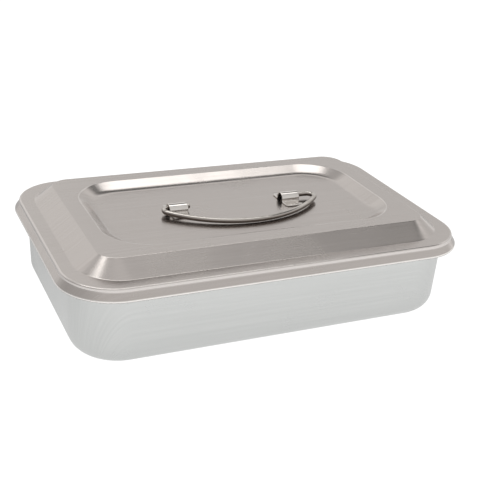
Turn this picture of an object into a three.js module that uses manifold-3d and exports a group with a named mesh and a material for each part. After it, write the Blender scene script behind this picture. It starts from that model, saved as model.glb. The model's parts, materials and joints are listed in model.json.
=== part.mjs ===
// A lidded instrument tray of pressed stainless sheet.
//
// A deep-drawn pan stands on its flat bottom. A pressed lid with a raised crown and a shallow sunk panel
// drops over the pan's rim. Two omega clips are spot-welded in the sunk panel, and a wire bail handle
// turns in them. It folds down towards the front until its bow lies on the panel.
//
// Millimetres, +Z up. The origin is the centre of the pan's underside. X is the long way, -Y the front.

import * as THREE from "three";
import { mergeVertices } from "three/addons/utils/BufferGeometryUtils.js";
import Module from "manifold-3d";

const wasm = await Module();
wasm.setup();

// ---- driving dimensions -------------------------------------------------------------------------------

const SHEET = 0.8; // thickness of the pan, the lid and the clips
const GAP = 0.3; // air left between pieces that touch on the real tray

// The lid's flange edge is the outline that every ring of the pan and the lid is measured from.
const FLANGE_HALF_X = 155;
const FLANGE_HALF_Y = 101.2;
const FLANGE_Z = 64.8; // top face of the lid's flange
const FLANGE_CORNER = 38.3; // corner radius in plan

const NECK_DROP = 2.4; // the skirt pulls in a little just below the flange's rounded edge
const NECK_INSET = 0.6;
const SKIRT_DROP = 8.8; // from the flange's top face to the skirt's lower edge
const SKIRT_FLARE = 3.1; // how far the lower edge stands out past the flange
const SKIRT_LIP = 1.1; // the lower edge turns straight down for this far

const SLOPE_FOOT_INSET = 11.2; // from the flange's edge to the foot of the slope
const SLOPE_FOOT_CORNER = 33;
const SLOPE_WIDTH = 14.3;
const CROWN_RISE = 10.5; // from the flange up to the crown
const CROWN_CORNER = 15; // the crown's outer corners are much tighter than the slope's foot
const CROWN_WIDTH = 13.1; // the flat ring round the sunk panel
const PANEL_DEPTH = 5.6; // from the crown down to the sunk panel
const PANEL_WALL_WIDTH = 9.8; // a gentle dished slope
const PANEL_FOOT_BEND = 12;
const PANEL_CORNER = 36; // at the top of the panel's wall

const PAN_WALL_INSET = 5.2; // from the lid's flange edge to the outside of the pan's wall
const PAN_TAPER = 2.2; // how far the wall leans in on its way down
const PAN_BOTTOM_RADIUS = 13.6; // outside bend between wall and bottom
const PAN_CORNER = 38; // corner radius in plan, at the top of the wall
const RIM_WIDTH = 3.1; // the rim turns out this far past the wall
const RIM_LIP = 3.4; // and then down this far

const HINGE_Y = 1.1; // the hinge axis crosses the middle of the lid, a hair behind it
const CLIP_SPACING = 95; // between the middles of the two clips
const CLIP_WIDTH = 14.8; // along the hinge axis
const CLIP_LENGTH = 27.5; // across the hinge axis, foot to foot
const CLIP_CORNER = 2.5;
const ARCH_HALF_WIDTH = 5; // outside of the arch
const ARCH_HEIGHT = 6.9; // outside of the arch, above the underside of the feet

const WIRE_RADIUS = 2;
const BAIL_REACH = 34.9; // from the hinge axis to the middle of the bow
const BAIL_BOW_RADIUS = 86.5;
const BAIL_BEND_RADIUS = 5; // between the bow and each leg
const BAIL_LEG = 17; // straight leg past the bend, lying in its clip
const BAIL_FLOAT = 4.2; // the bail slides endways in its clips, and lies this far to the right
const BAIL_DROOP = THREE.MathUtils.degToRad(2.7); // folded, the bow sinks until it lies on the panel
const BAIL_CROSSING = 12.5; // the wire crosses the clips' front feet this far in front of the axis

// ---- derived levels -----------------------------------------------------------------------------------

const CROWN_Z = FLANGE_Z + CROWN_RISE;
const PANEL_Z = CROWN_Z - PANEL_DEPTH;
const RIM_Z = FLANGE_Z - SHEET - GAP; // the lid rests on the pan's rim
const CLIP_Z = PANEL_Z + GAP;
const WIRE_OVER_FOOT = CLIP_Z + SHEET + GAP + WIRE_RADIUS; // the folded bail lies on the front feet too
const HINGE_Z = WIRE_OVER_FOOT + BAIL_CROSSING * Math.sin(BAIL_DROOP);

// ---- pressed sheet ------------------------------------------------------------------------------------

const CORNER_STEPS = 8; // facets in each plan corner of a ring
const bendSteps = (radius) => Math.ceil(2 + radius / 4); // facets in each bend of a section

// A point of a pressed section: how far it lies outside the flange's edge, its height, the corner radius
// in plan of the ring that it makes, and the radius of the bend there.
const station = (out, height, corner, bend = 0) => ({ out, height, corner, bend });

const stepBetween = (p, q) => new THREE.Vector2(q.out - p.out, q.height - p.height);

// The arc that rounds off the bend at one station.
function bendArc(before, at, after) {
  const into = stepBetween(before, at).normalize();
  const outOf = stepBetween(at, after).normalize();
  const turn = Math.atan2(into.cross(outOf), into.dot(outOf));
  const reach = at.bend * Math.tan(Math.abs(turn) / 2);
  const side = Math.sign(turn) * at.bend;
  const start = new THREE.Vector2(at.out, at.height).addScaledVector(into, -reach);
  const centre = new THREE.Vector2(start.x - side * into.y, start.y + side * into.x);
  const from = Math.atan2(start.y - centre.y, start.x - centre.x);
  const steps = bendSteps(at.bend);
  return Array.from({ length: steps + 1 }, (_, i) => {
    const angle = from + (turn * i) / steps;
    const out = centre.x + at.bend * Math.cos(angle);
    return station(out, centre.y + at.bend * Math.sin(angle), at.corner + out - at.out);
  });
}

function bentSection(stations) {
  return stations.flatMap((at, i) => (at.bend ? bendArc(stations[i - 1], at, stations[i + 1]) : [at]));
}

// The section moved square to itself by the sheet's thickness, to the right of its direction.
function backOfSheet(face) {
  return face.map((p, i) => {
    const into = stepBetween(face[Math.max(i - 1, 0)], face[Math.max(i, 1)]).normalize();
    const last = face.length - 1;
    const outOf = stepBetween(face[Math.min(i, last - 1)], face[Math.min(i + 1, last)]).normalize();
    const along = into.clone().add(outOf).normalize();
    const mitre = SHEET / along.dot(into);
    return station(p.out + along.y * mitre, p.height - along.x * mitre, p.corner + along.y * mitre);
  });
}

// The closed outline, anticlockwise from above, that a station makes.
function ring({ out, corner }) {
  const cx = FLANGE_HALF_X + out - corner;
  const cy = FLANGE_HALF_Y + out - corner;
  const middles = [[cx, cy], [-cx, cy], [-cx, -cy], [cx, -cy]];
  return middles.flatMap(([x, y], quarter) => {
    const from = (quarter * Math.PI) / 2;
    return new THREE.EllipseCurve(x, y, corner, corner, from, from + Math.PI / 2).getPoints(CORNER_STEPS);
  });
}

// A pressed shell: rings that follow the upper face from the middle outwards, round the trimmed edge, and
// back under it to the middle. The middle is flat on both faces.
function pressedSheet(stations) {
  const face = bentSection(stations);
  const section = [...face, ...backOfSheet(face).reverse()];
  const positions = section.flatMap((p) => ring(p).flatMap((q) => [q.x, q.y, p.height]));
  const count = positions.length / 3 / section.length;
  const last = (section.length - 1) * count;
  const index = [];
  for (let row = 0; row < last; row += count) {
    for (let j = 0; j < count; j += 1) {
      const a = row + j;
      const b = row + ((j + 1) % count);
      index.push(a, a + count, b, b, a + count, b + count);
    }
  }
  for (let j = 1; j < count - 1; j += 1) {
    index.push(0, j, j + 1, last, last + j + 1, last + j);
  }
  const geometry = new THREE.BufferGeometry();
  geometry.setAttribute("position", new THREE.Float32BufferAttribute(positions, 3));
  geometry.setIndex(index);
  return geometry;
}

// ---- pieces -------------------------------------------------------------------------------------------

// The pan's upper face: floor, wall, rim and down the outside of the lip.
function panGeometry() {
  const top = -PAN_WALL_INSET - SHEET;
  const foot = top - PAN_TAPER;
  const topCorner = PAN_CORNER - SHEET;
  const footCorner = topCorner - PAN_TAPER;
  const lip = -PAN_WALL_INSET + RIM_WIDTH;
  const lipCorner = PAN_CORNER + RIM_WIDTH;
  return pressedSheet([
    station(foot - PAN_BOTTOM_RADIUS, SHEET, footCorner - PAN_BOTTOM_RADIUS),
    station(foot, SHEET, footCorner, PAN_BOTTOM_RADIUS - SHEET),
    station(top, RIM_Z, topCorner, 1.2),
    station(lip, RIM_Z, lipCorner, 1.2),
    station(lip, RIM_Z - RIM_LIP, lipCorner),
  ]);
}

// The lid's upper face: sunk panel, crown, slope, flange and skirt.
function lidGeometry() {
  const slopeFoot = -SLOPE_FOOT_INSET;
  const crownOut = slopeFoot - SLOPE_WIDTH;
  const crownIn = crownOut - CROWN_WIDTH;
  const panelEdge = crownIn - PANEL_WALL_WIDTH;
  const panelCorner = PANEL_CORNER - PANEL_WALL_WIDTH;
  const neck = -NECK_INSET;
  const skirtZ = FLANGE_Z - SKIRT_DROP;
  const skirtCorner = FLANGE_CORNER + SKIRT_FLARE;
  return pressedSheet([
    station(panelEdge - 5, PANEL_Z, panelCorner - 5),
    station(panelEdge, PANEL_Z, panelCorner, PANEL_FOOT_BEND),
    station(crownIn, CROWN_Z, PANEL_CORNER, 1.1),
    station(crownOut, CROWN_Z, CROWN_CORNER, 1),
    station(slopeFoot, FLANGE_Z, SLOPE_FOOT_CORNER, 1),
    station(0, FLANGE_Z, FLANGE_CORNER, 1.3),
    station(neck, FLANGE_Z - NECK_DROP, FLANGE_CORNER + neck, 1.5),
    station(SKIRT_FLARE, skirtZ + SKIRT_LIP, skirtCorner, 1),
    station(SKIRT_FLARE, skirtZ, skirtCorner),
  ]);
}

// A closed geometry as a solid that can be cut, and back again.
function solidOf(geometry) {
  const bare = geometry.clone();
  bare.deleteAttribute("normal");
  bare.deleteAttribute("uv");
  const merged = mergeVertices(bare);
  const vertProperties = merged.attributes.position.array;
  const triVerts = new Uint32Array(merged.index.array);
  return new wasm.Manifold(new wasm.Mesh({ numProp: 3, vertProperties, triVerts }));
}

function geometryOf(solid) {
  const { vertProperties, triVerts } = solid.getMesh();
  const geometry = new THREE.BufferGeometry();
  geometry.setAttribute("position", new THREE.BufferAttribute(vertProperties, 3));
  geometry.setIndex(new THREE.BufferAttribute(triVerts, 1));
  return geometry;
}

// A strip with an arch in its middle and a flat foot on each side, bent over the hinge axis.
function clipGeometry() {
  const foot = CLIP_LENGTH / 2;
  const inner = ARCH_HALF_WIDTH - SHEET;
  const spring = ARCH_HEIGHT - ARCH_HALF_WIDTH; // height of the arch's centre
  const strip = new THREE.Shape();
  strip.moveTo(-foot, 0);
  strip.lineTo(-inner, 0);
  strip.absarc(0, spring, inner, Math.PI, 0, true);
  strip.lineTo(inner, 0);
  strip.lineTo(foot, 0);
  strip.lineTo(foot, SHEET);
  strip.lineTo(ARCH_HALF_WIDTH, SHEET);
  strip.absarc(0, spring, ARCH_HALF_WIDTH, 0, Math.PI, false);
  strip.lineTo(-ARCH_HALF_WIDTH, SHEET);
  strip.lineTo(-foot, SHEET);
  const bent = new THREE.ExtrudeGeometry(strip, { depth: CLIP_WIDTH, bevelEnabled: false, curveSegments: 8 });
  bent.translate(0, 0, -CLIP_WIDTH / 2);
  bent.rotateX(Math.PI / 2);
  bent.rotateZ(Math.PI / 2);

  const x = CLIP_WIDTH / 2 - CLIP_CORNER;
  const y = foot - CLIP_CORNER;
  const plan = new THREE.Shape();
  [[x, y], [-x, y], [-x, -y], [x, -y]].forEach(([cx, cy], quarter) => {
    const from = (quarter * Math.PI) / 2;
    plan.absarc(cx, cy, CLIP_CORNER, from, from + Math.PI / 2);
  });
  const blank = new THREE.ExtrudeGeometry(plan, { depth: ARCH_HEIGHT + 2, bevelEnabled: false, curveSegments: 3 });
  blank.translate(0, 0, -1);
  return geometryOf(solidOf(bent).intersect(solidOf(blank)));
}

// The wire's centre line lies flat: a leg on the hinge axis, a tight bend, the bow, a bend and a leg.
function bailGeometry() {
  const bowY = BAIL_BOW_RADIUS - BAIL_REACH;
  const bendY = -BAIL_BEND_RADIUS;
  const bendX = Math.sqrt((BAIL_BOW_RADIUS - BAIL_BEND_RADIUS) ** 2 - (bowY - bendY) ** 2);
  const meet = Math.atan2(bendY - bowY, bendX); // direction from the bow's centre to where it meets a bend
  const line = new THREE.Path();
  line.moveTo(BAIL_LEG - bendX, 0);
  line.absarc(-bendX, bendY, BAIL_BEND_RADIUS, Math.PI / 2, Math.PI - meet, false);
  line.absarc(0, bowY, BAIL_BOW_RADIUS, Math.PI - meet, 2 * Math.PI + meet, false);
  line.absarc(bendX, bendY, BAIL_BEND_RADIUS, meet, Math.PI / 2, false);
  line.lineTo(bendX - BAIL_LEG, 0);
  const points = line.getSpacedPoints(160).map((p) => new THREE.Vector3(p.x, p.y, 0));
  const wire = new THREE.Shape().absarc(0, 0, WIRE_RADIUS, 0, 2 * Math.PI);
  const extrudePath = new THREE.CatmullRomCurve3(points);
  return new THREE.ExtrudeGeometry(wire, { steps: 96, curveSegments: 6, extrudePath });
}

// ---- assembly -----------------------------------------------------------------------------------------

const satinSteel = new THREE.MeshStandardMaterial({ color: 0xc9cac8, roughness: 0.35, metalness: 1 });
const brushedSteel = new THREE.MeshStandardMaterial({ color: 0xb4aea9, roughness: 0.3, metalness: 1 });
const polishedSteel = new THREE.MeshStandardMaterial({ color: 0xd2ccc6, roughness: 0.15, metalness: 1 });

function piece(name, geometry, material, x = 0, y = 0, z = 0) {
  const mesh = new THREE.Mesh(geometry, material);
  mesh.name = name;
  mesh.position.set(x, y, z);
  return mesh;
}

const lid = new THREE.Group();
lid.add(piece("lid", lidGeometry(), brushedSteel));
[["handle_clip_left", -0.5], ["handle_clip_right", 0.5]].forEach(([name, share]) => {
  lid.add(piece(name, clipGeometry(), polishedSteel, share * CLIP_SPACING, HINGE_Y, CLIP_Z));
});
const bail = piece("bail_handle", bailGeometry(), polishedSteel, BAIL_FLOAT, HINGE_Y, HINGE_Z);
bail.rotation.x = BAIL_DROOP;
lid.add(bail);

const tray = new THREE.Group();
tray.add(piece("pan", panGeometry(), satinSteel), lid);

export default tray;
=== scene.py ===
import json
import math

import bmesh
import bpy
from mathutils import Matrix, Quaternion, Vector


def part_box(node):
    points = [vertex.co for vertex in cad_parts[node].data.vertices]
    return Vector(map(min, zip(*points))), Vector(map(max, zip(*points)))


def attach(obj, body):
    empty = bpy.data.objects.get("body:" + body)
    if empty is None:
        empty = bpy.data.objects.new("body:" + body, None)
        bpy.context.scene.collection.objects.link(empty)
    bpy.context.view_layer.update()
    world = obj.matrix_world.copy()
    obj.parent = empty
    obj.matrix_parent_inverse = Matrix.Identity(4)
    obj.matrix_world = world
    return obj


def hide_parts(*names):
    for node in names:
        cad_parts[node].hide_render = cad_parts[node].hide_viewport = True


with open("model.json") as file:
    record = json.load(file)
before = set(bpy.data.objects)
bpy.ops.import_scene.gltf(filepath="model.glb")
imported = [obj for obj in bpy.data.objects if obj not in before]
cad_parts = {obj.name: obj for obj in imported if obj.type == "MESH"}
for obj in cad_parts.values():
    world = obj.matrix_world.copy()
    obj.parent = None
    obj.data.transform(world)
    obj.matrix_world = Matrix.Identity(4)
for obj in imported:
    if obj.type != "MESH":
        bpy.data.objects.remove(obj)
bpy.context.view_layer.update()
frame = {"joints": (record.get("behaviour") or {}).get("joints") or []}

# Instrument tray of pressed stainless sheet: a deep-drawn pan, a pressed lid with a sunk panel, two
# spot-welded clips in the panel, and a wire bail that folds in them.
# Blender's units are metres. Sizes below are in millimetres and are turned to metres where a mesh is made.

MM = 0.001

# ---- sizes, worked out from the frame -----------------------------------------------------------------

SHEET = 0.8

PAN_BOX = [corner / MM for corner in map(Vector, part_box("pan"))]
LID_BOX = [corner / MM for corner in map(Vector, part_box("lid"))]
BAIL_BOX = [corner / MM for corner in map(Vector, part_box("bail_handle"))]
CLIP_BOXES = {
    side: [corner / MM for corner in map(Vector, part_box(f"handle_clip_{side}"))]
    for side in ("left", "right")
}

NECK_DROP = 2.4
NECK_INSET = 0.6
SKIRT_FLARE = 3.1
SKIRT_LIP = 1.1
SLOPE_FOOT_INSET = 11.2
SLOPE_FOOT_CORNER = 33.0
SLOPE_WIDTH = 14.3
CROWN_RISE = 10.5
CROWN_CORNER = 15.0
CROWN_WIDTH = 13.1
PANEL_DEPTH = 5.6
PANEL_WALL_WIDTH = 9.8
PANEL_FOOT_BEND = 12.0
PANEL_CORNER = 36.0
FLANGE_CORNER = 38.3

PAN_WALL_INSET = 5.2
PAN_TAPER = 2.2
PAN_BOTTOM_RADIUS = 13.6
PAN_CORNER = 38.0
RIM_WIDTH = 3.1
RIM_LIP = 3.4

# Every ring of the pan and the lid is measured from the lid's flange edge.
FLANGE_HALF = (
    (LID_BOX[1].x - LID_BOX[0].x) / 2 - SKIRT_FLARE,
    (LID_BOX[1].y - LID_BOX[0].y) / 2 - SKIRT_FLARE,
)
CROWN_Z = LID_BOX[1].z
FLANGE_Z = CROWN_Z - CROWN_RISE
PANEL_Z = CROWN_Z - PANEL_DEPTH
SKIRT_Z = LID_BOX[0].z
RIM_Z = PAN_BOX[1].z

CLIP_CORNER = 2.5
ARCH_HALF_WIDTH = 5.0

WIRE_RADIUS = 2.0
WIRE_END_ROUND = 0.7
WIRE_SIDES = 32
BAIL_REACH = 34.9
BAIL_DROOP = math.radians(2.7)  # folded, the bow sinks until it lies on the panel
BAIL_BOW_RADIUS = 86.5
BAIL_BEND_RADIUS = 5.0
BAIL_LEG = 17.0
HINGE = Vector(next(j for j in frame["joints"] if j["name"] == "bail_fold")["pos_m"]) / MM


# ---- pressed sheet ------------------------------------------------------------------------------------

CORNER_STEPS = 22  # facets in each plan corner of a ring
STRAIGHT_STEP = 9.0  # longest facet along a straight side
SECTION_STEP = 5.0  # longest facet across a flat
BEND_FACET = math.radians(9)
HEM_DEPTH = 1.5
HIGHLIGHT_BENDS = (1.05, 10.0)  # bends between these radii get a lighter tone: a painted highlight
HOLD = 0.3  # a ring this close to each bend keeps the flat beside it flat when shaded


def station(out, height, corner, bend=0.0):
    """A point of a pressed section: how far outside the flange's edge, height, plan corner radius, bend."""
    return {"at": Vector((out, height)), "corner": corner, "bend": bend}


def bend_arc(before, here, after):
    """The points of the bend at one station, each marked if the bend is painted a lighter tone as a
    highlight.
    """
    into = (here["at"] - before["at"]).normalized()
    out_of = (after["at"] - here["at"]).normalized()
    turn = math.atan2(into.x * out_of.y - into.y * out_of.x, into.dot(out_of))
    radius = here["bend"]
    # painted highlight: bends with a radius in this range get a lighter tone for the bright line they show
    highlight_share = float(HIGHLIGHT_BENDS[0] < radius < HIGHLIGHT_BENDS[1])
    start = here["at"] - into * radius * math.tan(abs(turn) / 2)
    side = math.copysign(radius, turn)
    centre = start + Vector((-side * into.y, side * into.x))
    first = math.atan2(start.y - centre.y, start.x - centre.x)
    steps = max(4, math.ceil(abs(turn) / BEND_FACET))
    points = []
    for i in range(steps + 1):
        angle = first + turn * i / steps
        at = centre + Vector((math.cos(angle), math.sin(angle))) * radius
        points.append({"at": at, "corner": here["corner"] + at.x - here["at"].x, "bent": highlight_share})
    return points


def between(p, q):
    """The points that fill a straight stretch of a section, close beside its bends and spread between."""
    length = (q["at"] - p["at"]).length
    if length < 3 * HOLD:
        return []
    count = max(1, math.ceil((length - 2 * HOLD) / SECTION_STEP))
    places = [HOLD + (length - 2 * HOLD) * i / count for i in range(count + 1)]
    widening = (q["corner"] - p["corner"]) / length
    return [
        {"at": p["at"].lerp(q["at"], s / length), "corner": p["corner"] + widening * s, "bent": 0.0}
        for s in places
    ]


def section_points(stations):
    """The whole upper face of a section, from its first station to the trimmed edge."""
    runs = []
    for i, here in enumerate(stations):
        if here["bend"]:
            runs.append(bend_arc(stations[i - 1], here, stations[i + 1]))
        else:
            runs.append([{"at": here["at"], "corner": here["corner"], "bent": 0.0}])
    points = runs[0]
    for run in runs[1:]:
        points = points + between(points[-1], run[0]) + run
    return points


def under_face(face):
    """The section moved square to itself by the sheet's thickness."""
    under = []
    for i, p in enumerate(face):
        before, after = face[max(i - 1, 0)], face[min(i + 1, len(face) - 1)]
        along = (after["at"] - before["at"]).normalized()
        shift = Vector((along.y, -along.x)) * SHEET
        under.append({"at": p["at"] + shift, "corner": p["corner"] + shift.x, "bent": p["bent"]})
    return under


def trimmed_edge(upper, lower):
    """The small round of the sheet's cut edge, from the upper face's end to the under face's end."""
    middle = (upper["at"] + lower["at"]) / 2
    arm = upper["at"] - middle
    outward = Vector((-arm.y, arm.x)) * 0.5
    points = []
    for i in range(1, 6):
        angle = math.pi * i / 6
        at = middle + arm * math.cos(angle) + outward * math.sin(angle)
        # the cut edge is marked for the same lighter tone as the listed bends, a painted highlight
        points.append({"at": at, "corner": upper["corner"] + at.x - upper["at"].x, "bent": 1.0})
    return points


def inner_rings(first):
    """Rings from near the middle of a flat out to its first station."""
    reach = FLANGE_HALF[1] + first["at"].x
    count = math.ceil(reach / SECTION_STEP)
    rings = []
    for i in range(1, count):
        shrink = reach * (1 - i / count)
        at = first["at"] - Vector((shrink, 0))
        rings.append({"at": at, "corner": max(first["corner"] - shrink, 1.5), "bent": 0.0})
    return rings


def ring(point):
    """A closed outline in plan, anticlockwise, as (place, outward direction)."""
    corner = point["corner"]
    cx = FLANGE_HALF[0] + point["at"].x - corner
    cy = FLANGE_HALF[1] + point["at"].x - corner
    middles = [(cx, cy), (-cx, cy), (-cx, -cy), (cx, -cy)]
    straights = [FLANGE_HALF[0], FLANGE_HALF[1]] * 2
    outline = []
    for quarter, (x, y) in enumerate(middles):
        for i in range(CORNER_STEPS + 1):
            angle = (quarter + i / CORNER_STEPS) * math.pi / 2
            away = Vector((math.cos(angle), math.sin(angle)))
            outline.append((Vector((x, y)) + away * corner, away))
        next_middle = Vector(middles[(quarter + 1) % 4])
        here, away = outline[-1]
        there = next_middle + away * corner
        parts = math.ceil(2 * straights[quarter] / STRAIGHT_STEP)
        outline += [(here.lerp(there, i / parts), away) for i in range(1, parts)]
    return outline


def pressed_sheet(name, stations):
    """A thin pressed shell. Its UV map is the flat blank that it was pressed from, so the sheet's rolled
    grain runs the same way all over. The attribute "bent" marks the bends and the cut edge that are painted
    a lighter tone as a highlight, and "hem" the turned-down edge, which is painted near white as a highlight."""
    face = section_points(stations)
    upper = inner_rings(face[0]) + face
    lower = under_face(upper)
    section = upper + trimmed_edge(upper[-1], lower[-1]) + lower[::-1]
    for point in section:
        # the lowest HEM_DEPTH of a skirt outside the flange edge is marked for a near-white painted highlight
        point["hem"] = float(point["at"].y < upper[-1]["at"].y + HEM_DEPTH and point["at"].x > 0)

    mesh = bmesh.new()
    blank = mesh.loops.layers.uv.new("blank")
    bent = mesh.verts.layers.float.new("bent")
    hem = mesh.verts.layers.float.new("hem")
    rows, flat_places = [], {}
    developed = 0.0
    for k, point in enumerate(section):
        if k:
            developed += (point["at"] - section[k - 1]["at"]).length
        run = developed + section[0]["at"].x
        row = []
        for place, away in ring(point):
            vertex = mesh.verts.new((place.x * MM, place.y * MM, point["at"].y * MM))
            vertex[bent] = point["bent"]
            vertex[hem] = point["hem"]
            flat_places[vertex] = (place + away * (run - point["at"].x)) * MM
            row.append(vertex)
        rows.append(row)
    for inner, outer in zip(rows, rows[1:]):
        for j in range(len(inner)):
            k = (j + 1) % len(inner)
            mesh.faces.new((inner[j], outer[j], outer[k], inner[k]))
    mesh.faces.new(rows[0])
    mesh.faces.new(rows[-1][::-1])
    smooth_with_blank(mesh, blank, flat_places)
    return finished(name, mesh)


def smooth_with_blank(mesh, blank, flat_places):
    """Shades every face smooth and gives its corners their places on the flat blank."""
    for face in mesh.faces:
        face.smooth = True
        for loop in face.loops:
            loop[blank].uv = flat_places[loop.vert]


def finished(name, mesh):
    """A bmesh as a new object, in the scene."""
    data = bpy.data.meshes.new(name)
    mesh.to_mesh(data)
    mesh.free()
    piece = bpy.data.objects.new(name, data)
    bpy.context.scene.collection.objects.link(piece)
    return piece


def make_pan():
    top = -PAN_WALL_INSET - SHEET
    foot = top - PAN_TAPER
    top_corner = PAN_CORNER - SHEET
    foot_corner = top_corner - PAN_TAPER
    lip = RIM_WIDTH - PAN_WALL_INSET
    lip_corner = PAN_CORNER + RIM_WIDTH
    return pressed_sheet("drawn_pan", [
        station(foot - PAN_BOTTOM_RADIUS - 1, SHEET, foot_corner - PAN_BOTTOM_RADIUS - 1),
        station(foot, SHEET, foot_corner, PAN_BOTTOM_RADIUS - SHEET),
        station(top, RIM_Z, top_corner, 1.2),
        station(lip, RIM_Z, lip_corner, 1.2),
        station(lip, RIM_Z - RIM_LIP, lip_corner),
    ])


def make_lid():
    slope_foot = -SLOPE_FOOT_INSET
    crown_out = slope_foot - SLOPE_WIDTH
    crown_in = crown_out - CROWN_WIDTH
    panel_edge = crown_in - PANEL_WALL_WIDTH
    panel_corner = PANEL_CORNER - PANEL_WALL_WIDTH
    skirt_corner = FLANGE_CORNER + SKIRT_FLARE
    return pressed_sheet("pressed_lid", [
        station(panel_edge - 5, PANEL_Z, panel_corner - 5),
        station(panel_edge, PANEL_Z, panel_corner, PANEL_FOOT_BEND),
        station(crown_in, CROWN_Z, PANEL_CORNER, 1.1),
        station(crown_out, CROWN_Z, CROWN_CORNER, 1.0),
        station(slope_foot, FLANGE_Z, SLOPE_FOOT_CORNER, 1.0),
        station(0, FLANGE_Z, FLANGE_CORNER, 1.3),
        station(-NECK_INSET, FLANGE_Z - NECK_DROP, FLANGE_CORNER - NECK_INSET, 1.5),
        station(SKIRT_FLARE, SKIRT_Z + SKIRT_LIP, skirt_corner, 1.0),
        station(SKIRT_FLARE, SKIRT_Z, skirt_corner),
    ])


# ---- handle clips -------------------------------------------------------------------------------------

CLIP_FACET = 0.45
WELDS_PER_FOOT = 2
WELD_SPACING = 6.5
WELD_RADIUS = 1.5
WELD_DEPTH = 0.16
WELD_OUTSET = 0.4  # past the middle of the foot, away from the arch
LEVEL_MATCH = 0.05  # how near the foot's upper face a point counts as on it
FOOT_EASE = 0.5  # inside radius of the bend between foot and arch


def clip_section(box):
    """The under face of the strip as (along, height, normal), front foot to rear foot."""
    foot = (box[1].y - box[0].y) / 2
    inner = ARCH_HALF_WIDTH - SHEET
    spring = box[1].z - box[0].z - ARCH_HALF_WIDTH
    points = []

    def run(start, end):
        length = (end - start).length
        count = max(1, math.ceil(length / CLIP_FACET))
        way = (end - start).normalized()
        normal = Vector((-way.y, way.x))
        points.extend((start.lerp(end, i / count), normal) for i in range(count))

    def arc(centre, radius, first, turn):
        steps = max(4, math.ceil(abs(turn) / math.radians(8)))
        for i in range(steps):
            angle = first + turn * i / steps
            spoke = Vector((math.cos(angle), math.sin(angle)))
            points.append((centre + spoke * radius, spoke if turn < 0 else -spoke))

    bend = SHEET + FOOT_EASE  # centre line of the outside corner, on the upper side of the foot
    run(Vector((-foot, 0)), Vector((-inner - bend, 0)))
    arc(Vector((-inner - bend, bend)), bend, -math.pi / 2, math.pi / 2)
    if spring > bend:
        run(Vector((-inner, bend)), Vector((-inner, spring)))
    arc(Vector((0, max(spring, bend))), inner, math.pi, -math.pi)
    arc(Vector((inner + bend, bend)), bend, math.pi, math.pi / 2)
    run(Vector((inner + bend, 0)), Vector((foot, 0)))
    points.append((Vector((foot, 0)), Vector((0, 1))))
    return points


def strip_rows(mesh, strip, lift, squeeze, box, flat_places):
    """One face of the strip, a row of points at each place along it, drawn in at its rounded foot corners."""
    middle = (box[0] + box[1]) / 2
    half = (box[1].x - box[0].x) / 2
    columns = math.ceil(2 * half / CLIP_FACET)
    total = sum((b[0] - a[0]).length for a, b in zip(strip, strip[1:]))
    rows, developed = [], 0.0
    for i, (place, normal) in enumerate(strip):
        if i:
            developed += (place - strip[i - 1][0]).length
        near = min(developed, total - developed)
        cut = max(CLIP_CORNER - near, 0)
        reach = half - CLIP_CORNER + math.sqrt(CLIP_CORNER**2 - cut**2)
        at = place + normal * lift
        row = []
        for j in range(columns + 1):
            across = reach * (2 * j / columns - 1)
            vertex = mesh.verts.new((
                (middle.x + across) * MM, (middle.y + at.x) * MM, (box[0].z + at.y * squeeze) * MM,
            ))
            flat_places[vertex] = Vector((across, developed)) * MM
            row.append(vertex)
        rows.append(row)
    return rows


def close_strip(mesh, under, upper):
    """The faces between the strip's rows of points: both faces, its two long edges and its two ends."""
    columns = len(under[0]) - 1
    for i in range(len(under) - 1):
        for j in range(columns):
            mesh.faces.new((upper[i][j], upper[i][j + 1], upper[i + 1][j + 1], upper[i + 1][j]))
            mesh.faces.new((under[i][j], under[i + 1][j], under[i + 1][j + 1], under[i][j + 1]))
        mesh.faces.new((under[i][0], upper[i][0], upper[i + 1][0], under[i + 1][0]))
        mesh.faces.new((under[i][-1], under[i + 1][-1], upper[i + 1][-1], upper[i][-1]))
    for j in range(columns):
        mesh.faces.new((under[0][j], under[0][j + 1], upper[0][j + 1], upper[0][j]))
        mesh.faces.new((under[-1][j], upper[-1][j], upper[-1][j + 1], under[-1][j + 1]))


def make_clip(side):
    """A strip bent to an arch with a flat foot at each end, its foot corners rounded."""
    box = CLIP_BOXES[side]
    strip = clip_section(box)
    top = max(place.y + normal.y * SHEET for place, normal in strip)
    squeeze = (box[1].z - box[0].z) / top  # keeps the eased arch at its full height
    mesh = bmesh.new()
    blank = mesh.loops.layers.uv.new("blank")
    flat_places = {}
    under, upper = (strip_rows(mesh, strip, lift, squeeze, box, flat_places) for lift in (0, SHEET))
    close_strip(mesh, under, upper)
    smooth_with_blank(mesh, blank, flat_places)
    piece = finished(f"clip_{side}", mesh)
    middle = (box[0] + box[1]) / 2
    weld_line = (middle.y - box[0].y + ARCH_HALF_WIDTH) / 2 + WELD_OUTSET
    welds = [
        (middle.x + WELD_SPACING * (k - (WELDS_PER_FOOT - 1) / 2), middle.y + way * weld_line)
        for way in (-1, 1) for k in range(WELDS_PER_FOOT)
    ]
    return dimpled(piece, welds, box[0].z + SHEET)


# ---- node trees ---------------------------------------------------------------------------------------


class Tree:
    """A node tree being built, with named inputs and outputs."""

    def __init__(self, name, kind, inputs, outputs):
        self.tree = bpy.data.node_groups.new(name, kind)
        for direction, sockets in (("INPUT", inputs), ("OUTPUT", outputs)):
            for title, socket_type in sockets.items():
                self.tree.interface.new_socket(title, in_out=direction, socket_type=socket_type)
        self.inputs = self.tree.nodes.new("NodeGroupInput").outputs
        self.outputs = self.tree.nodes.new("NodeGroupOutput").inputs

    def node(self, kind, *wires, **settings):
        """A new node. Wires are (input name or place, value or socket)."""
        return add_node(self.tree, kind, *wires, **settings)


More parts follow.
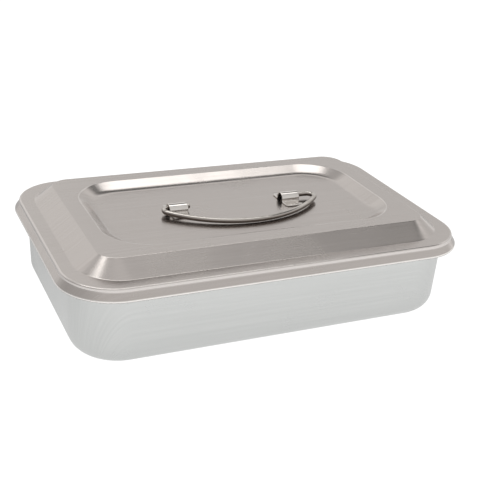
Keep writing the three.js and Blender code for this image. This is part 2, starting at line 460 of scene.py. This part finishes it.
def add_node(tree, kind, *wires, **settings):
    node = tree.nodes.new(kind)
    for key, value in settings.items():
        setattr(node, key, value)
    for socket, value in wires:
        if isinstance(value, bpy.types.NodeSocket):
            tree.links.new(value, node.inputs[socket])
        else:
            node.inputs[socket].default_value = value
    return node


def baked_nodes(piece, tree, values):
    """Runs a geometry tree on a piece, with its inputs set by identifier, and keeps the result as a mesh."""
    modifier = piece.modifiers.new(tree.name, "NODES")
    modifier.node_group = tree
    for socket in tree.interface.items_tree:
        if socket.in_out == "INPUT" and socket.name in values:
            modifier[socket.identifier] = values[socket.name]
    bpy.context.view_layer.update()
    evaluated = piece.evaluated_get(bpy.context.evaluated_depsgraph_get())
    data = bpy.data.meshes.new_from_object(evaluated)
    name = piece.name
    data.name = name
    result = bpy.data.objects.new(name, data)
    bpy.context.scene.collection.objects.link(result)
    piece.modifiers.remove(modifier)
    bpy.data.objects.remove(piece)
    result.name = name
    return result


def weld_dimple_tree():
    """Presses round weld dimples into the upward face at a level, one at each of a row of places."""
    t = Tree("weld_dimples", "GeometryNodeTree", {
        "Geometry": "NodeSocketGeometry", "First Weld": "NodeSocketVector", "Along Row": "NodeSocketVector",
        "To Next Row": "NodeSocketVector", "Face Level": "NodeSocketFloat", "Radius": "NodeSocketFloat",
        "Depth": "NodeSocketFloat", "Material": "NodeSocketMaterial",
    }, {"Geometry": "NodeSocketGeometry"})
    index = t.node("GeometryNodeInputIndex").outputs[0]
    per_foot = float(WELDS_PER_FOOT)
    column = t.node("ShaderNodeMath", (0, index), (1, per_foot), operation="MODULO").outputs[0]
    row_share = t.node("ShaderNodeMath", (0, index), (1, per_foot), operation="DIVIDE").outputs[0]
    row = t.node("ShaderNodeMath", (0, row_share), operation="FLOOR").outputs[0]
    step = t.node("ShaderNodeVectorMath", (0, t.inputs["Along Row"]), ("Scale", column), operation="SCALE")
    jump = t.node("ShaderNodeVectorMath", (0, t.inputs["To Next Row"]), ("Scale", row), operation="SCALE")
    offset = t.node("ShaderNodeVectorMath", (0, step.outputs[0]), (1, jump.outputs[0]), operation="ADD")
    first = t.inputs["First Weld"]
    place = t.node("ShaderNodeVectorMath", (0, first), (1, offset.outputs[0]), operation="ADD")
    welds = t.node("GeometryNodePoints", ("Count", 2 * WELDS_PER_FOOT), ("Position", place.outputs[0]))
    near = t.node("GeometryNodeProximity", (0, welds.outputs[0]), target_element="POINTS")
    away = near.outputs["Distance"]
    ratio = t.node("ShaderNodeMath", (0, away), (1, t.inputs["Radius"]), operation="DIVIDE")
    dish = t.node("ShaderNodeMapRange", ("Value", ratio.outputs[0]), ("From Min", 0.45), ("From Max", 1.0),
                  ("To Min", -1.0), ("To Max", 0.0), interpolation_type="SMOOTHSTEP")
    height = t.node("ShaderNodeSeparateXYZ", (0, t.node("GeometryNodeInputPosition").outputs[0])).outputs["Z"]
    gap = t.node("ShaderNodeMath", (0, height), (1, t.inputs["Face Level"]), operation="SUBTRACT").outputs[0]
    off = t.node("ShaderNodeMath", (0, gap), operation="ABSOLUTE").outputs[0]
    on_face = t.node("ShaderNodeMath", (0, off), (1, LEVEL_MATCH * MM), operation="LESS_THAN").outputs[0]
    push = t.node("ShaderNodeMath", (0, dish.outputs[0]), (1, t.inputs["Depth"]), operation="MULTIPLY")
    down = t.node("ShaderNodeCombineXYZ", ("Z", push.outputs[0])).outputs[0]
    moved = t.node("GeometryNodeSetPosition", (0, t.inputs["Geometry"]), ("Selection", on_face),
                   ("Offset", down))
    whole = t.node("GeometryNodeRealizeInstances", (0, moved.outputs[0]))
    done = t.node("GeometryNodeSetMaterial", (0, whole.outputs[0]), ("Material", t.inputs["Material"]))
    t.tree.links.new(done.outputs[0], t.outputs[0])
    return t.tree


def dimpled(piece, welds, level):
    """The clip with its spot welds pressed in. Welds are (x, y) in the order of the tree's rows."""
    first, along, across = (Vector((*welds[k], level)) * MM for k in (0, 1, WELDS_PER_FOOT))
    return baked_nodes(piece, WELD_DIMPLES, {
        "First Weld": first, "Along Row": along - first, "To Next Row": across - first,
        "Face Level": level * MM, "Radius": WELD_RADIUS * MM, "Depth": WELD_DEPTH * MM,
        "Material": CLIP_STEEL,
    })


def round_wire_tree():
    """Sweeps a round wire along a curve and draws its two cut ends in a little."""
    t = Tree("round_wire", "GeometryNodeTree", {
        "Geometry": "NodeSocketGeometry", "Wire Radius": "NodeSocketFloat", "End Round": "NodeSocketFloat",
        "Sides": "NodeSocketInt", "Material": "NodeSocketMaterial",
    }, {"Geometry": "NodeSocketGeometry"})
    spline = t.node("GeometryNodeSplineParameter")
    total = t.node("GeometryNodeSplineLength").outputs["Length"]
    gone = spline.outputs["Length"]
    left = t.node("ShaderNodeMath", (0, total), (1, gone), operation="SUBTRACT").outputs[0]
    near = t.node("ShaderNodeMath", (0, gone), (1, left), operation="MINIMUM").outputs[0]
    ratio = t.node("ShaderNodeMath", (0, near), (1, t.inputs["End Round"]), operation="DIVIDE").outputs[0]
    rest = t.node("ShaderNodeMath", (0, 1.0), (1, ratio), operation="SUBTRACT", use_clamp=True).outputs[0]
    square = t.node("ShaderNodeMath", (0, rest), (1, rest), operation="MULTIPLY").outputs[0]
    inside = t.node("ShaderNodeMath", (0, 1.0), (1, square), operation="SUBTRACT").outputs[0]
    root = t.node("ShaderNodeMath", (0, inside), operation="SQRT").outputs[0]
    full = t.node("ShaderNodeMapRange", ("Value", root), ("To Min", 0.78), ("To Max", 1.0)).outputs[0]
    along = t.node("GeometryNodeStoreNamedAttribute", (0, t.inputs["Geometry"]), ("Name", "along"),
                   ("Value", spline.outputs["Length"]), data_type="FLOAT", domain="POINT")
    circle = t.node("GeometryNodeCurvePrimitiveCircle", ("Resolution", t.inputs["Sides"]),
                    ("Radius", t.inputs["Wire Radius"]))
    turn = t.node("GeometryNodeSplineParameter").outputs["Factor"]
    around = t.node("GeometryNodeStoreNamedAttribute", (0, circle.outputs[0]), ("Name", "around"),
                    ("Value", turn), data_type="FLOAT", domain="POINT")
    swept = t.node("GeometryNodeCurveToMesh", ("Curve", along.outputs[0]),
                   ("Profile Curve", around.outputs[0]), ("Scale", full), ("Fill Caps", True))
    smooth = t.node("GeometryNodeSetShadeSmooth", (0, swept.outputs[0]))
    whole = t.node("GeometryNodeRealizeInstances", (0, smooth.outputs[0]))
    done = t.node("GeometryNodeSetMaterial", (0, whole.outputs[0]), ("Material", t.inputs["Material"]))
    t.tree.links.new(done.outputs[0], t.outputs[0])
    return t.tree


def bail_line():
    """The wire's centre line: a leg on the hinge axis, a tight bend, the bow, a bend and a leg."""
    middle_x = (BAIL_BOX[0].x + BAIL_BOX[1].x) / 2
    bow_y = BAIL_BOW_RADIUS - BAIL_REACH
    bend_y = -BAIL_BEND_RADIUS
    bend_x = math.sqrt((BAIL_BOW_RADIUS - BAIL_BEND_RADIUS) ** 2 - (bow_y - bend_y) ** 2)
    meet = math.atan2(bend_y - bow_y, bend_x)
    points = []

    def arc(x, y, radius, first, last, steps):
        for i in range(steps):
            angle = first + (last - first) * i / steps
            points.append((x + radius * math.cos(angle), y + radius * math.sin(angle)))

    def leg(start, end):
        spread = [0, 0.25, 0.5, 0.75, *range(1, 13)]  # closest at the cut end, where the wire is rounded
        whole = spread[-1] + 1
        return [(start + (end - start) * s / whole, 0) for s in spread]

    points += leg(BAIL_LEG - bend_x, -bend_x)
    arc(-bend_x, bend_y, BAIL_BEND_RADIUS, math.pi / 2, math.pi - meet, 22)
    arc(0, bow_y, BAIL_BOW_RADIUS, math.pi - meet, 2 * math.pi + meet, 120)
    arc(bend_x, bend_y, BAIL_BEND_RADIUS, meet, math.pi / 2, 22)
    points += [(bend_x, 0)] + leg(bend_x - BAIL_LEG, bend_x)[::-1]
    rise, run = math.sin(BAIL_DROOP), math.cos(BAIL_DROOP)
    return [Vector((middle_x + x, HINGE.y + y * run, HINGE.z + y * rise)) for x, y in points]


def make_bail():
    line = bail_line()
    curve = bpy.data.curves.new("bail_wire", "CURVE")
    curve.dimensions = "3D"
    spline = curve.splines.new("POLY")
    spline.points.add(len(line) - 1)
    for point, place in zip(spline.points, line):
        point.co = (*(place * MM), 1)
    piece = bpy.data.objects.new("bail_wire", curve)
    bpy.context.scene.collection.objects.link(piece)
    return baked_nodes(piece, round_wire_tree(), {
        "Wire Radius": WIRE_RADIUS * MM, "End Round": WIRE_END_ROUND * MM, "Sides": WIRE_SIDES,
        "Material": WIRE_STEEL,
    })


# ---- finishes -----------------------------------------------------------------------------------------


def rolled_grain_group():
    """The fine straight lines of rolled and brushed sheet. Vector is a flat coordinate in metres."""
    t = Tree("rolled_grain", "ShaderNodeTree", {
        "Vector": "NodeSocketVector", "Lines Along": "NodeSocketFloat", "Lines Across": "NodeSocketFloat",
    }, {"Grain": "NodeSocketFloat", "Streak": "NodeSocketFloat"})
    size = t.node("ShaderNodeCombineXYZ", ("X", t.inputs["Lines Along"]), ("Y", t.inputs["Lines Across"]))
    fine = t.node("ShaderNodeVectorMath", (0, t.inputs["Vector"]), (1, size.outputs[0]), operation="MULTIPLY")
    lines = t.node("ShaderNodeTexNoise", ("Vector", fine.outputs[0]), ("Scale", 1.0), ("Detail", 4.0),
                   ("Roughness", 0.62))
    coarse = t.node("ShaderNodeVectorMath", (0, fine.outputs[0]), ("Scale", 0.16), operation="SCALE")
    bands = t.node("ShaderNodeTexNoise", ("Vector", coarse.outputs[0]), ("Scale", 1.0), ("Detail", 2.0))
    t.tree.links.new(lines.outputs["Fac"], t.outputs["Grain"])
    t.tree.links.new(bands.outputs["Fac"], t.outputs["Streak"])
    return t.tree


def handling_group():
    """Marks of use: soft smudges, and hair scratches that lie in two directions."""
    t = Tree("handling_marks", "ShaderNodeTree", {
        "Vector": "NodeSocketVector", "Smudge Scale": "NodeSocketFloat", "Scratch Scale": "NodeSocketFloat",
    }, {"Smudge": "NodeSocketFloat", "Scratch": "NodeSocketFloat"})
    cloud = t.node("ShaderNodeTexNoise", ("Vector", t.inputs["Vector"]), ("Scale", t.inputs["Smudge Scale"]),
                   ("Detail", 3.0), ("Roughness", 0.55), ("Distortion", 0.6))
    smudge = t.node("ShaderNodeMapRange", ("Value", cloud.outputs["Fac"]), ("From Min", 0.42),
                    ("From Max", 0.72), interpolation_type="SMOOTHSTEP")
    total = None
    for turn, stretch in ((0.5, (0.035, 1.0, 1.0)), (-0.85, (0.05, 1.0, 1.0))):
        turned = t.node("ShaderNodeMapping", ("Vector", t.inputs["Vector"]), ("Rotation", (0.3, 0.2, turn)))
        drawn = t.node("ShaderNodeVectorMath", (0, turned.outputs[0]), (1, stretch), operation="MULTIPLY")
        hair = t.node("ShaderNodeTexNoise", ("Vector", drawn.outputs[0]),
                      ("Scale", t.inputs["Scratch Scale"]), ("Detail", 1.0))
        thin = t.node("ShaderNodeMapRange", ("Value", hair.outputs["Fac"]), ("From Min", 0.70),
                      ("From Max", 0.76)).outputs[0]
        if total is not None:
            thin = t.node("ShaderNodeMath", (0, total), (1, thin), operation="MAXIMUM").outputs[0]
        total = thin
    t.tree.links.new(smudge.outputs[0], t.outputs["Smudge"])
    t.tree.links.new(total, t.outputs["Scratch"])
    return t.tree


def mix_colour(tree, share, first, second):
    """Two colours mixed: the first where the share is 0, the second where it is 1."""
    node = add_node(tree, "ShaderNodeMix", data_type="RGBA")
    tree.links.new(share, node.inputs["Factor"])
    for name, value in (("A", first), ("B", second)):
        socket = next(s for s in node.inputs if s.name == name and s.type == "RGBA")
        if isinstance(value, bpy.types.NodeSocket):
            tree.links.new(value, socket)
        else:
            socket.default_value = (*value, 1)
    return next(s for s in node.outputs if s.type == "RGBA")


def remap(tree, value, low, high, start=0.0, end=1.0):
    """A value from start to end, spread over low to high and held there."""
    return add_node(tree, "ShaderNodeMapRange", ("Value", value), ("From Min", start), ("From Max", end),
                    ("To Min", low), ("To Max", high)).outputs[0]


def sheet_steel(name, light, dark, bend_highlight, edge, rough, grain_lines=(45.0, 2600.0)):
    """Satin pressed sheet. Light and dark are the two tones that the grain and the smudges move between,
    the third tone is a painted highlight on the marked bends and the cut edge, the fourth is a near-white
    painted highlight on the hem, and rough is (flats, bends)."""
    material = bpy.data.materials.new(name)
    material.use_nodes = True
    tree = material.node_tree
    shader = tree.nodes["Principled BSDF"]
    shader.inputs["Metallic"].default_value = 1.0
    flat = add_node(tree, "ShaderNodeUVMap", uv_map="blank").outputs[0]
    place = add_node(tree, "ShaderNodeTexCoord").outputs["Object"]
    bent = add_node(tree, "ShaderNodeAttribute", attribute_name="bent").outputs["Fac"]
    grain = add_node(tree, "ShaderNodeGroup", node_tree=ROLLED_GRAIN)
    tree.links.new(flat, grain.inputs["Vector"])
    grain.inputs["Lines Along"].default_value, grain.inputs["Lines Across"].default_value = grain_lines
    marks = add_node(tree, "ShaderNodeGroup", node_tree=HANDLING)
    tree.links.new(place, marks.inputs["Vector"])
    marks.inputs["Smudge Scale"].default_value = 22.0
    marks.inputs["Scratch Scale"].default_value = 900.0

    streaks = remap(tree, grain.outputs["Streak"], 0.0, 1.0, 0.3, 0.7)
    tone = mix_colour(tree, streaks, light, dark)
    clouded = add_node(tree, "ShaderNodeMath", (0, marks.outputs["Smudge"]), (1, 0.45), operation="MULTIPLY")
    tone = mix_colour(tree, clouded.outputs[0], tone, dark)
    # painted highlight: the marked bends and the cut edge are mixed towards the lighter tone
    highlight_share = add_node(tree, "ShaderNodeMath", (0, bent), (1, 0.8), operation="MULTIPLY").outputs[0]
    tone = mix_colour(tree, highlight_share, tone, bend_highlight)
    # painted highlight: the hem gets the near-white tone of the bright line along the skirt's edge
    hem = add_node(tree, "ShaderNodeAttribute", attribute_name="hem").outputs["Fac"]
    tone = mix_colour(tree, hem, tone, edge)
    tree.links.new(tone, shader.inputs["Base Color"])

    base = remap(tree, bent, rough[0], rough[1])
    lines = remap(tree, grain.outputs["Grain"], -0.02, 0.02, 0.3, 0.7)
    smear = remap(tree, marks.outputs["Smudge"], -0.015, 0.04)
    rougher = add_node(tree, "ShaderNodeMath", (0, base), (1, lines), operation="ADD").outputs[0]
    rougher = add_node(tree, "ShaderNodeMath", (0, rougher), (1, smear), operation="ADD").outputs[0]
    tree.links.new(rougher, shader.inputs["Roughness"])

    cuts = add_node(tree, "ShaderNodeMath", (0, marks.outputs["Scratch"]), (1, -0.6), operation="MULTIPLY")
    relief = add_node(tree, "ShaderNodeMath", (0, grain.outputs["Grain"]), (1, cuts.outputs[0]),
                      operation="ADD").outputs[0]
    bump = add_node(tree, "ShaderNodeBump", ("Strength", 0.2), ("Distance", 0.01 * MM), ("Height", relief))
    tree.links.new(bump.outputs[0], shader.inputs["Normal"])
    return material


def polished_steel(name, light, dark, rough, vector_from, underside_shade=None):
    """Bright drawn steel, with faint lines along it. Vector_from adds the nodes that give its coordinate.
    The last argument is a painted shade: a dark tone on the wire's underside that stands in for its shadow
    and its dark reflection, and the heights that it fades out between, measured square to the folded bail."""
    material = bpy.data.materials.new(name)
    material.use_nodes = True
    tree = material.node_tree
    shader = tree.nodes["Principled BSDF"]
    shader.inputs["Metallic"].default_value = 1.0
    grain = add_node(tree, "ShaderNodeGroup", node_tree=ROLLED_GRAIN)
    tree.links.new(vector_from(tree), grain.inputs["Vector"])
    grain.inputs["Lines Along"].default_value = 120.0
    grain.inputs["Lines Across"].default_value = 5200.0
    marks = add_node(tree, "ShaderNodeGroup", node_tree=HANDLING)
    tree.links.new(add_node(tree, "ShaderNodeTexCoord").outputs["Object"], marks.inputs["Vector"])
    marks.inputs["Smudge Scale"].default_value = 90.0
    marks.inputs["Scratch Scale"].default_value = 1800.0
    tone = mix_colour(tree, marks.outputs["Smudge"], light, dark)
    if underside_shade:
        under_tone, low, high = underside_shade
        place = add_node(tree, "ShaderNodeTexCoord").outputs["Object"]
        square = (0.0, -math.sin(BAIL_DROOP), math.cos(BAIL_DROOP))
        away = add_node(tree, "ShaderNodeVectorMath", (0, place), (1, HINGE * MM), operation="SUBTRACT")
        height = add_node(tree, "ShaderNodeVectorMath", (0, away.outputs[0]), (1, square),
                          operation="DOT_PRODUCT")
        height = height.outputs["Value"]
        ragged = remap(tree, marks.outputs["Smudge"], 0.0, 0.3 * MM)
        height = add_node(tree, "ShaderNodeMath", (0, height), (1, ragged), operation="ADD").outputs[0]
        # painted shade: below these heights the wire is darkened towards the shade tone
        tone = mix_colour(tree, remap(tree, height, 1.0, 0.0, low * MM, high * MM), tone, under_tone)
    tree.links.new(tone, shader.inputs["Base Color"])
    lines = remap(tree, grain.outputs["Grain"], rough - 0.04, rough + 0.05, 0.3, 0.7)
    smear = remap(tree, marks.outputs["Smudge"], 0.0, 0.07)
    total = add_node(tree, "ShaderNodeMath", (0, lines), (1, smear), operation="ADD").outputs[0]
    tree.links.new(total, shader.inputs["Roughness"])
    bump = add_node(tree, "ShaderNodeBump", ("Strength", 0.25), ("Distance", 0.015 * MM),
                    ("Height", grain.outputs["Grain"]))
    tree.links.new(bump.outputs[0], shader.inputs["Normal"])
    return material


def along_wire(tree):
    """A flat coordinate on the wire, in metres: along it, and round it."""
    along = add_node(tree, "ShaderNodeAttribute", attribute_name="along").outputs["Fac"]
    around = add_node(tree, "ShaderNodeAttribute", attribute_name="around").outputs["Fac"]
    girth = add_node(tree, "ShaderNodeMath", (0, around), (1, 2 * math.pi * WIRE_RADIUS * MM),
                     operation="MULTIPLY").outputs[0]
    return add_node(tree, "ShaderNodeCombineXYZ", ("X", along), ("Y", girth)).outputs[0]


def along_strip(tree):
    """The clip's place on its flat blank, in metres."""
    return add_node(tree, "ShaderNodeUVMap", uv_map="blank").outputs[0]


ROLLED_GRAIN = rolled_grain_group()
HANDLING = handling_group()
PAN_STEEL = sheet_steel(
    "satin_pan_steel", (0.69, 0.70, 0.69), (0.655, 0.665, 0.655), (0.72, 0.72, 0.71), (0.8, 0.8, 0.79),
    (0.24, 0.2),
)
LID_STEEL = sheet_steel(
    "satin_lid_steel", (0.64, 0.602, 0.578), (0.605, 0.567, 0.542), (0.76, 0.72, 0.695), (0.97, 0.94, 0.91),
    (0.24, 0.2),
)
CLIP_STEEL = polished_steel("polished_clip_steel", (0.78, 0.75, 0.72), (0.68, 0.65, 0.62), 0.14, along_strip)
WIRE_STEEL = polished_steel(
    "drawn_wire_steel", (0.66, 0.625, 0.59), (0.54, 0.505, 0.47), 0.16, along_wire,
    # a painted shade on the wire's underside, standing in for its shadow and dark reflection
    underside_shade=((0.13, 0.105, 0.09), 0.2, 1.8),
)
WELD_DIMPLES = weld_dimple_tree()


# ---- the pieces on their bodies -----------------------------------------------------------------------


def place_piece(piece, node, body, material):
    """Stands a finished piece in for its node, on the body that carries it."""
    if not piece.data.materials:
        piece.data.materials.append(material)
    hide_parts(node)
    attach(piece, body)


place_piece(make_pan(), "pan", "pan", PAN_STEEL)
place_piece(make_lid(), "lid", "lid", LID_STEEL)
for clip_side in ("left", "right"):
    place_piece(make_clip(clip_side), f"handle_clip_{clip_side}", "lid", CLIP_STEEL)
place_piece(make_bail(), "bail_handle", "bail", WIRE_STEEL)


# ---- studio -------------------------------------------------------------------------------------------

AIM = Vector((12.2, 11.2, 34.0)) * MM
CAMERA_DISTANCE = 0.757
CAMERA_AZIMUTH = math.radians(-25.26)
CAMERA_ELEVATION = math.radians(24.22)
CAMERA_ROLL = math.radians(3.85)
LENS = 69.5

FLOOR_RADIUS = 5.0
FLOOR_GLOW = ((-0.30, 0.94), (0.22, 0.42))  # the paper's own light in the steel, from front to back
FLOOR_GLOW_SEEN = 1.0  # and seen straight from the camera
SURROUND_TINT = (1.0, 0.985, 0.97)
SURROUND = {  # brightness at heights from the horizon, 0, to straight up, 1
    "back right": (
        (0.0, 1.1), (0.1, 0.86), (0.2, 0.62), (0.34, 0.68), (0.45, 0.66), (0.6, 1.05), (0.69, 0.06),
        (0.86, 0.08), (1.0, 0.55),
    ),
    "left": ((0.0, 0.85), (0.4, 0.80), (0.6, 0.92), (0.72, 0.5), (1.0, 0.45)),
    "front": ((0.0, 0.75), (0.6, 0.7), (0.75, 0.64), (1.0, 0.78)),
    "far left": ((0.0, 0.24), (0.4, 0.5), (1.0, 0.5)),
}
SURROUND_SIDES = (  # the way that each side faces, and how squarely the surround must face it to take over
    ("left", (-1.0, 0.0, 0.0), -0.26, -0.06),
    ("front", (0.0, -1.0, 0.0), 0.0, 0.3),
    ("far left", (-1.0, 0.0, 0.0), 0.5, 0.85),
)

SOFTBOX_PLACE = (-0.12, 0.19, 1.1)
SOFTBOX_SIZE = (1.5, 0.44)
SOFTBOX_RADIANCE = 1.65
SOFTBOX_WHITE = (1.0, 0.99, 0.98)


def direction(azimuth, elevation):
    """From the object towards a place round it: azimuth 0 is the front, and 90 degrees the right."""
    flat = math.cos(elevation)
    return Vector((math.sin(azimuth) * flat, -math.cos(azimuth) * flat, math.sin(elevation)))


def add_camera():
    data = bpy.data.cameras.new("camera")
    data.lens = LENS
    camera = bpy.data.objects.new("camera", data)
    back = direction(CAMERA_AZIMUTH, CAMERA_ELEVATION)
    camera.location = AIM + back * CAMERA_DISTANCE
    camera.rotation_mode = "QUATERNION"
    camera.rotation_quaternion = back.to_track_quat("Z", "Y") @ Quaternion((0, 0, 1), CAMERA_ROLL)
    bpy.context.scene.collection.objects.link(camera)
    bpy.context.scene.camera = camera


def add_softbox(name, place, size, radiance, colour):
    """A rectangular light over the tray, facing straight down. Place is in metres from the tray's middle."""
    data = bpy.data.lights.new(name, "AREA")
    data.shape = "RECTANGLE"
    data.size, data.size_y = size
    data.energy = radiance * math.pi * size[0] * size[1]
    data.color = colour
    light = bpy.data.objects.new(name, data)
    light.location = AIM + Vector(place)
    bpy.context.scene.collection.objects.link(light)


def add_floor():
    """A pale matt floor. It looks plain white from the camera, and a soft grey in the steel."""
    mesh = bmesh.new()
    bmesh.ops.create_circle(mesh, cap_ends=True, segments=96, radius=FLOOR_RADIUS)
    floor = finished("studio_floor", mesh)
    material = bpy.data.materials.new("floor_paper")
    material.use_nodes = True
    tree = material.node_tree
    shader = tree.nodes["Principled BSDF"]
    shader.inputs["Base Color"].default_value = (0.15, 0.15, 0.15, 1)
    shader.inputs["Roughness"].default_value = 0.95
    shader.inputs["Specular IOR Level"].default_value = 0.1
    shader.inputs["Emission Color"].default_value = (1, 1, 1, 1)
    seen = add_node(tree, "ShaderNodeLightPath").outputs["Is Camera Ray"]
    place = add_node(tree, "ShaderNodeTexCoord").outputs["Object"]
    depth = add_node(tree, "ShaderNodeSeparateXYZ", (0, place))
    (near, bright), (far, dim) = FLOOR_GLOW
    unseen = remap(tree, depth.outputs["Y"], bright, dim, near, far)
    glow = remap(tree, seen, unseen, FLOOR_GLOW_SEEN)
    tree.links.new(glow, shader.inputs["Emission Strength"])
    floor.data.materials.append(material)


def add_surround():
    """A studio round the tray: bright low down, darker overhead, with a paler left side."""
    world = bpy.data.worlds.new("studio_surround")
    world.use_nodes = True
    tree = world.node_tree
    background = tree.nodes["Background"]
    towards = add_node(tree, "ShaderNodeTexCoord").outputs["Generated"]
    up = add_node(tree, "ShaderNodeSeparateXYZ", (0, towards)).outputs["Z"]
    shares = {}
    for name, stops in SURROUND.items():
        ramp = add_node(tree, "ShaderNodeValToRGB", ("Fac", up))
        for place, level in stops[1:-1]:
            ramp.color_ramp.elements.new(place)
        for element, (place, level) in zip(ramp.color_ramp.elements, stops):
            element.position = place
            element.color = (*(level * part for part in SURROUND_TINT), 1)
        shares[name] = ramp.outputs[0]
    level = shares["back right"]
    for name, way, start, end in SURROUND_SIDES:
        facing = add_node(tree, "ShaderNodeVectorMath", (0, towards), (1, way), operation="DOT_PRODUCT")
        share = remap(tree, facing.outputs["Value"], 0.0, 1.0, start, end)
        level = mix_colour(tree, share, level, shares[name])
    tree.links.new(level, background.inputs["Color"])
    bpy.context.scene.world = world


bpy.context.scene.view_settings.view_transform = "Standard"
add_camera()
add_floor()
add_surround()
add_softbox("overhead_softbox", SOFTBOX_PLACE, SOFTBOX_SIZE, SOFTBOX_RADIANCE, SOFTBOX_WHITE)
